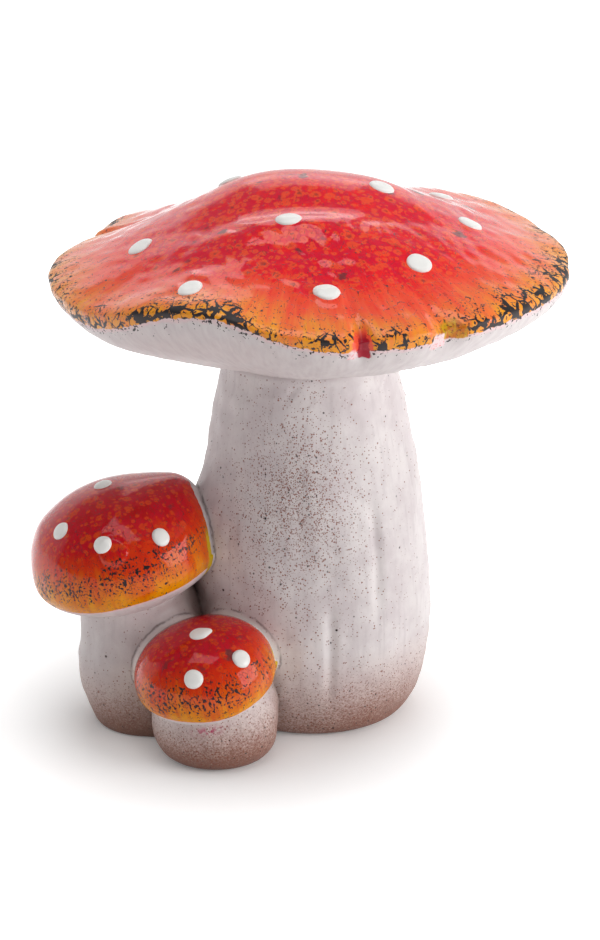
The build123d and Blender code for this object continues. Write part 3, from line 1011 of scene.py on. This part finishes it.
def stem_glaze(m):
    """Greyish white satin glaze with brown and black spray."""
    look = Look(f"{m.name}_stem_glaze")
    mottle = look.noise(14, detail=5, roughness=0.6)
    colour = look.mix(mottle.between(0.32, 0.68), LILAC_GREY, LILAC_WHITE)
    brushed = look.noise(2.4, detail=4, place=look.vector("MULTIPLY", look.place, (1.0, 1.0, 0.1)))
    colour = look.mix(brushed.between(0.5, 0.75) * 0.3, colour, LILAC_SHADE)

    # Brown overspray at the foot
    foot = look.attribute("foot_spray")
    grain = look.noise(0.8, roughness=0.7)
    colour = look.mix((foot * 0.75).at_most(0.7), colour, SPRAY_TAN)
    veil = (foot * 0.8 + grain.swing(1.3)).between(0.2, 0.9)
    colour = look.mix(veil * 0.85, colour, SPRAY_BROWN)

    # Spatter: round drops, more of them where the spray was aimed
    spray = look.attribute("spray")
    for size, reach, gain, tint in DROPS:
        distance, luck_show, luck_size, _ = look.lucky_cells(size)
        drop = (luck_size * reach + 0.12 - distance).between(0.0, 0.08)
        there = (spray * gain - luck_show).between(-0.02, 0.02)
        colour = look.mix(drop * there * 0.9, colour, tint)

    # Pinholes, brown spray with painted shade in the corners, painted shade along the crevices, wiped slip
    # with a dark line along it, and a smear of red
    distance, luck_show, _, _ = look.lucky_cells(9.0)
    hole = distance.between(0.07, 0.045) * luck_show.between(0.6, 0.64)
    colour = look.mix(hole, colour, DROP_BLACK)
    cloud = look.noise(3.0, detail=4)
    # Brown spray with painted shade in the corners between stems
    colour = look.mix(look.attribute("corner") * 0.5, colour, CORNER_BROWN_SHADE)
    colour = look.mix(look.attribute("slip_band") * 0.8, colour, SLIP_WHITE)
    # Painted shade along the crevices between castings
    colour = look.mix(look.attribute("crevice") * cloud.between(0.36, 0.6) * 0.9, colour, DARK_LINE)
    off_line = abs(look.attribute("lip") + cloud.swing(1.4) - SLIP_LINE)
    broken = look.noise(6.0, detail=4).between(0.3, 0.56)
    colour = look.mix(off_line.between(0.6, 0.05) * broken * 0.6, colour, DARK_LINE)
    smear = look.attribute("smear") * look.noise(1.4).between(0.42, 0.56)
    colour = look.mix(smear, colour, SMEAR_PINK)
    skin = look.bump(look.noise(3.2, detail=4), 0.35, 0.45)
    skin = look.bump(brushed, 0.15, 0.5, skin)
    return look.finish({
        "Base Color": look.mix(look.attribute("inside"), colour, BISQUE), "Roughness": mottle * 0.25 + 0.36,
        "Normal": look.bump(hole, -0.3, 1.0, skin)})


def enamel():
    """Thick white enamel of the dots."""
    look = Look("white_enamel")
    cloud = look.noise(4, detail=3)
    return look.finish({
        "Base Color": look.mix(cloud, ENAMEL_SHADE, ENAMEL_WHITE), "Roughness": cloud * 0.2 + 0.25,
        "Normal": look.bump(look.noise(1.6), 0.12, 0.5)})


def slip():
    """Fired joining slip, under a thin white glaze."""
    look = Look("joining_slip")
    cloud = look.noise(5, detail=4)
    return look.finish({
        "Base Color": look.mix(cloud, LILAC_GREY, LILAC_WHITE), "Roughness": cloud * 0.2 + 0.5,
        "Normal": look.bump(look.noise(1.2, detail=3), 0.2, 0.6)})


# Castings

# Spray on the large stem: bearing, half width in degrees, height, half height, share of drops
SPRAY_PATCHES = ((263.0, 15.0, 103.0, 15.0, 0.8), (262.0, 23.0, 92.0, 26.0, 0.4),
                 (90.0, 40.0, 88.0, 22.0, 0.35))
SPRAY_EVERYWHERE = 0.025
SPRAY_AT_FOOT = 0.5            # drops in the brown spray
# Brown spray at a foot: how high it reaches, and its strength
FOOT_SPRAY = {"large": (40.0, 1.1), "medium": (36.0, 1.1), "small": (32.0, 1.25)}
# Where that spray is strongest: bearing, half width in degrees, strength on the far side
FOOT_AIM = {"large": (312.0, 34.0, 0.62), "medium": (280.0, 60.0, 0.8), "small": (262.0, 70.0, 0.8)}
FOOT_FADE = 1.1                # how it thins out upwards
# Width of the painted shade along the crevices between castings
CREVICE_SHADE_WIDTH = 2.0
CORNER_BROWN_SHADE_REACH = {"large": 5.0, "medium": 17.0, "small": 4.0}   # reach of the brown spray and painted shade in the corners
SLIP_BAND = (1.5, 2.5)         # distances from another mushroom's cap where wiped slip ends
LIP_REACH = 20.0               # greatest distance from such a cap that is kept
# Smear of red on the small stem: bearing, half width in degrees, height, half height
SMEAR = (268.0, 9.0, 20.5, 1.1)


def stem_attributes(m, level, around, corner, lip):
    """Where spray, brown and painted shade in corners and crevices, and smears lie on a stem."""
    spray = np.full(level.shape, SPRAY_EVERYWHERE)
    if m is large:
        for centre, width, height, tall, share in SPRAY_PATCHES:
            spray += share * about(around, centre, width) * bell(level - height, tall)
    reach, strength = FOOT_SPRAY[m.name]
    foot = strength * np.clip(1 - level / reach, 0, 1) ** FOOT_FADE
    aim, width, least = FOOT_AIM[m.name]
    foot *= least + (1 - least) * about(around, aim, width)
    smear = np.zeros(level.shape)
    if m is small:
        centre, width, height, tall = SMEAR
        smear = about(around, centre, width) * bell(level - height, tall)
    # Painted shade along the crevices, and brown spray with painted shade in the corners
    crevice = bell(np.clip(corner, 0, None), CREVICE_SHADE_WIDTH)
    tint = bell(np.clip(corner, 0, None), CORNER_BROWN_SHADE_REACH[m.name])
    band = 1 - step(lip, *SLIP_BAND)
    return {"spray": spray + SPRAY_AT_FOOT * foot, "foot_spray": foot, "crevice": crevice, "smear": smear,
            "corner": tint * (1 - band), "slip_band": band, "lip": np.minimum(lip, LIP_REACH)}


def add_stem(m):
    """Hollow stem casting."""
    name = f"{m.name}_stem"
    _, level, around = skins[name]
    points, _, corner, lip = joined_skin(name)
    bore = cut_back(stem_bore(m, points.shape[1]), name)
    grid = np.concatenate([points, bore, points[:1]])
    rings, segments = grid.shape[0] - 1, grid.shape[1]
    faces = ring_faces(rings + 1, segments) % (rings * segments)
    blank = np.zeros(bore.shape[:-1])
    attributes = stem_attributes(m, level, around, corner, lip)
    attributes = {key: np.concatenate([value, blank]) for key, value in attributes.items()}
    attributes["inside"] = np.concatenate([np.zeros(level.shape), blank + 1])
    add_piece(name, grid[:-1].reshape(-1, 3), faces.tolist(), attributes, stem_glaze(m), name)


# Where the coloured glaze reaches further round the large rim: bearing, half width in degrees, extra reach
WRAPS = ((216.0, 14.0, 4.5), (285.0, 19.0, 3.2), (254.0, 7.0, -1.5))
# Black in the glaze of the large brim: least strength, then bearing, half width in degrees, added strength
SOOT_BASE = 0.72
SOOT_PATCHES = ((242.0, 16.0, 0.4), (212.0, 15.0, 0.2), (318.0, 16.0, 0.4), (342.0, 12.0, 0.45),
                (150.0, 9.0, 0.5), (186.0, 10.0, 0.4), (2.0, 12.0, 0.3))
SOOT_FADES = ((0.45, 5.0), (0.55, 14.0))   # shares that fade inwards from the edge, and their reach
# The same on the smaller caps
SMALL_SOOT_BASE = 0.35
SOOT_AIMS = {"medium": ((284.0, 20.0, 0.65), (222.0, 18.0, 0.4)),
             "small": ((300.0, 25.0, 0.5), (225.0, 22.0, 0.45))}
# Band where it lies there: distance from the edge of the glaze, how much that sways, half width
SOOT_BANDS = {"medium": (9.5, 5.0, 4.6), "small": (8.5, 2.5, 4.2)}
SOOT_HIGH = 300.0              # bearing where that band lies highest
BAND_SHARE = 0.75              # share of the black that lies in it
BAND_FADE = 11.0               # reach of the rest, inwards from the edge


def soot_amount(m, edge, around):
    """How much black broke through the glaze, from its edge inwards."""
    inner = np.clip(edge, 0, None)
    if m is large:
        aimed = SOOT_BASE + sum(share * about(around, aim, half) for aim, half, share in SOOT_PATCHES)
        return aimed * sum(share * bell(inner, reach) for share, reach in SOOT_FADES)
    middle, sway, width = SOOT_BANDS[m.name]
    middle = middle + sway * np.cos(np.radians(turn_between(around, SOOT_HIGH)))
    aimed = SMALL_SOOT_BASE + sum(share * about(around, aim, half) for aim, half, share in SOOT_AIMS[m.name])
    return aimed * (BAND_SHARE * bell(edge - middle, width) + (1 - BAND_SHARE) * bell(inner, BAND_FADE))


def add_cap(m):
    """Hollow cap casting, with the points of its outer skin."""
    name = f"{m.name}_cap"
    _, from_rim, around = skins[name]
    points, least, _, _ = joined_skin(name)
    cavity = cut_back(cap_cavity(m), name)
    grid = np.concatenate([cavity, points])
    turn = np.radians(around)
    if m is medium:
        spread = m.cap_radius * np.cos(np.clip(from_rim / m.cap_radius, 0, np.pi / 2))
        least = least - hump(spread * np.cos(turn), spread * np.sin(turn), SHOULDER_SLIP)
    if m is large:
        for centre, width, extra in WRAPS:
            from_rim = from_rim + extra * about(around, centre, width)
    attributes = {"from_rim": from_rim, "contact": least, "ring_x": m.cap_radius * np.cos(turn),
                  "ring_y": m.cap_radius * np.sin(turn),
                  "soot": soot_amount(m, from_rim + CAP_LOOKS[m.name].wrap, around)}
    blank = np.zeros(cavity.shape[:-1])
    attributes = {key: np.append(np.concatenate([blank, value]).ravel(), [value[-1].mean(), 0.0])
                  for key, value in attributes.items()}
    attributes["inside"] = np.append(np.concatenate([blank + 1, np.zeros(around.shape)]).ravel(), [0.0, 1.0])
    ends = [points[-1].mean(axis=0), cavity[0].mean(axis=0)]
    vertices = np.concatenate([grid.reshape(-1, 3), ends])
    faces = closed_faces(*grid.shape[:2])
    add_piece(name, vertices, faces, attributes, cap_glaze(m), name)
    return points


# Enamel dots

DOT_RINGS = 9
DOT_SEGMENTS = 48
DOT_SINK = 0.5                 # how far the enamel reaches into the glaze
DOT_TIP = 0.02                 # height of the middle point over the first ring
DOT_ROOT = 0.2                 # depth of the lowest point under the sunk ring
DOT_HEART = 0.15               # size of the first ring, as a share of the step between rings
DOT_LOBES = (2, 3, 5)          # lobes of the outline
DOT_WOBBLE = 0.05              # and their depth, as a share of the radius
DOT_PROBE = 8.0                # height from which the skin under a dot is looked for
TAIL_WIDTH = 0.32              # half width of a drawn-out tail in radians
# Dots that the brush drew out: direction in radians, share of the radius
DOT_TAILS = {"small_dot_1": (0.0, 0.4), "medium_dot_2": (1.2, 0.1)}
# Dots drawn out to both sides: direction in radians, share of the radius
DOT_STRETCH = {"large_dot_1": (2.3, 0.16), "large_dot_2": (1.8, 0.14)}


def add_dot(m, number, cap_tree, material):
    """Raised dot of enamel with a hand-made outline, lying on the skin of its cap."""
    name = f"{m.name}_dot_{number}"
    bearing, share = m.dots[number - 1]
    rng = np.random.default_rng(100 * len(m.name) + number)
    found, normal, _, _ = cap_tree.find_nearest(Vector(top_place(m, share, bearing)))
    normal = np.array(normal)
    side = unit(np.cross(normal, polar(1, bearing)))
    inward = np.cross(normal, side)
    turn = np.arange(DOT_SEGMENTS) * (2 * np.pi / DOT_SEGMENTS)
    outline = np.ones(DOT_SEGMENTS)
    for lobes in DOT_LOBES:
        outline += rng.normal() * DOT_WOBBLE / lobes * np.cos(lobes * turn + rng.uniform(0, 2 * np.pi))
    if name in DOT_TAILS:
        direction, drawn = DOT_TAILS[name]
        outline += drawn * bell(np.angle(np.exp(1j * (turn - direction))), TAIL_WIDTH)
    if name in DOT_STRETCH:
        direction, drawn = DOT_STRETCH[name]
        outline += drawn * np.cos(2 * (turn - direction))
    rings = []
    for ring in range(DOT_RINGS):
        reach = np.sin(np.pi / 2 * (ring + DOT_HEART) / (DOT_RINGS - 1 + DOT_HEART))
        height = DOT_RISE * (1 - reach**4) ** 0.5
        for angle, wobble in zip(turn, outline):
            flat = m.dot_radius * wobble * reach * (np.cos(angle) * side + np.sin(angle) * inward)
            start = np.array(found) + flat + normal * DOT_PROBE
            hit, _, _, _ = cap_tree.ray_cast(Vector(start), Vector(-normal))
            rings.append((np.array(hit) if hit else start - normal * DOT_PROBE) + normal * height)
    top = np.array(rings).reshape(DOT_RINGS, DOT_SEGMENTS, 3)
    sunk = top[-1:] - normal * DOT_SINK
    grid = np.concatenate([top, sunk])[::-1]
    ends = [top[0].mean(axis=0) + normal * DOT_TIP, sunk[0].mean(axis=0) - normal * DOT_ROOT]
    vertices = np.concatenate([grid.reshape(-1, 3), ends])
    faces = closed_faces(*grid.shape[:2])
    add_piece(name, vertices, faces, {}, material, name)


white_enamel = enamel()
for m in MUSHROOMS:
    add_stem(m)
    cap_tree = tree_of(add_cap(m))
    for number in range(1, len(m.dots) + 1):
        add_dot(m, number, cap_tree, white_enamel)

joining_slip = slip()
for name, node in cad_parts.items():
    if name.endswith("_slip"):
        node.data.materials.clear()
        node.data.materials.append(joining_slip)


# Stage

FLOOR_SIZE = 12.0
FLOOR_WHITE = (0.94, 0.94, 0.94, 1.0)
FLOOR_ROUGHNESS = 0.9
FLOOR_GLOW = 0.11              # lift of the floor round the object, for the camera and in reflections
FLOOR_SHADE = (-0.03, -0.02, 0.0)   # middle of the shaded part of the floor
FLOOR_EDGE = 0.037             # distance from there where the lift starts
FLOOR_RISE = 6.67              # growth of the lift with the distance, up to plain white
BACKDROP_TOP = (0.42, 0.6)     # rise of the directions where the white backdrop ends
BACKDROP_SIDE = (-0.1, 0.2)    # the same from the front to the back
ROOM_GLOW = 0.3                # light of the room in front and overhead
# Soft lights: name, place, point aimed at, width, height, radiance
SOFTBOXES = (("overhead_softbox", (-0.07, -0.15, 1.35), (0.0, 0.0, 0.15), 0.85, 1.0, 2.75),
             ("right_softbox", (1.1, -0.4, 0.38), (0.0, 0.0, 0.1), 0.8, 0.6, 5.2),
             ("back_softbox", (-0.03, 1.59, 1.33), (0.0, 0.0, 0.2), 0.86, 0.94, 1.1))


def add_floor():
    """Wide white floor that keeps the shadow of the object."""
    mesh = bpy.data.meshes.new("floor")
    half = FLOOR_SIZE / 2
    corners = [(-half, -half, 0), (half, -half, 0), (half, half, 0), (-half, half, 0)]
    mesh.from_pydata(corners, [], [(0, 1, 2, 3)])
    look = Look("floor")
    seen = look.node("ShaderNodeLightPath", {}, "Is Camera Ray")
    seen = seen.at_least(seen.beside("Is Glossy Ray"))
    away = look.vector("SUBTRACT", look.place, FLOOR_SHADE)
    away = look.node("ShaderNodeVectorMath", {0: away}, "Value", operation="LENGTH")
    glow = ((away - FLOOR_EDGE) * FLOOR_RISE).at_least(FLOOR_GLOW).at_most(1.0)
    mesh.materials.append(look.finish({
        "Base Color": FLOOR_WHITE, "Roughness": FLOOR_ROUGHNESS, "Specular IOR Level": 0.0,
        "Emission Color": WHITE, "Emission Strength": seen * glow}))
    floor = bpy.data.objects.new("floor", mesh)
    bpy.context.scene.collection.objects.link(floor)


def add_area(name, place, aim, width, height, radiance):
    """Rectangular soft light at a place, aimed at a point."""
    light = bpy.data.lights.new(name, "AREA")
    light.shape = "RECTANGLE"
    light.size = width
    light.size_y = height
    light.energy = radiance * np.pi * width * height
    lamp = bpy.data.objects.new(name, light)
    lamp.location = place
    lamp.rotation_euler = (Vector(aim) - Vector(place)).to_track_quat("-Z", "Y").to_euler()
    bpy.context.scene.collection.objects.link(lamp)


def add_world():
    """Studio: a white backdrop behind the object, a dimmer room in front and overhead."""
    world = bpy.data.worlds.new("studio")
    bpy.context.scene.world = world
    world.use_nodes = True
    look = Nodes(world.node_tree)
    direction = look.node("ShaderNodeTexCoord", {}, "Generated")
    back = look.node("ShaderNodeSeparateXYZ", {0: direction}, "Y")
    low = back.beside("Z").between(*BACKDROP_TOP[::-1])
    glow = (back.between(*BACKDROP_SIDE) * low).at_least(ROOM_GLOW)
    seen = look.node("ShaderNodeLightPath", {}, "Is Camera Ray")
    look.feed(world.node_tree.nodes["Background"], {"Color": WHITE, "Strength": glow.at_least(seen)})


CAMERA_ELEVATION = 19.0        # degrees looking down
CAMERA_DISTANCE = 1000.0
CAMERA_TARGET = np.array([-5.0, 0.0, 99.0])
FOCAL_PIXELS = 2500.0          # focal length in pixels of the picture
IMAGE_HEIGHT = 940.0
SENSOR = 36.0


def add_camera():
    """Camera at the photograph's viewing angle."""
    tilt = np.radians(CAMERA_ELEVATION)
    back_off = CAMERA_DISTANCE * np.array([0.0, -np.cos(tilt), np.sin(tilt)])
    data = bpy.data.cameras.new("camera")
    data.sensor_fit = "VERTICAL"
    data.sensor_height = SENSOR
    data.lens = SENSOR * FOCAL_PIXELS / IMAGE_HEIGHT
    camera = bpy.data.objects.new("camera", data)
    camera.location = (CAMERA_TARGET + axis_place + back_off) * MM
    camera.rotation_euler = (np.pi / 2 - tilt, 0.0, 0.0)
    bpy.context.scene.collection.objects.link(camera)
    bpy.context.scene.camera = camera


add_floor()
add_world()
for softbox in SOFTBOXES:
    add_area(*softbox)
add_camera()
bpy.context.scene.view_settings.view_transform = "Standard"
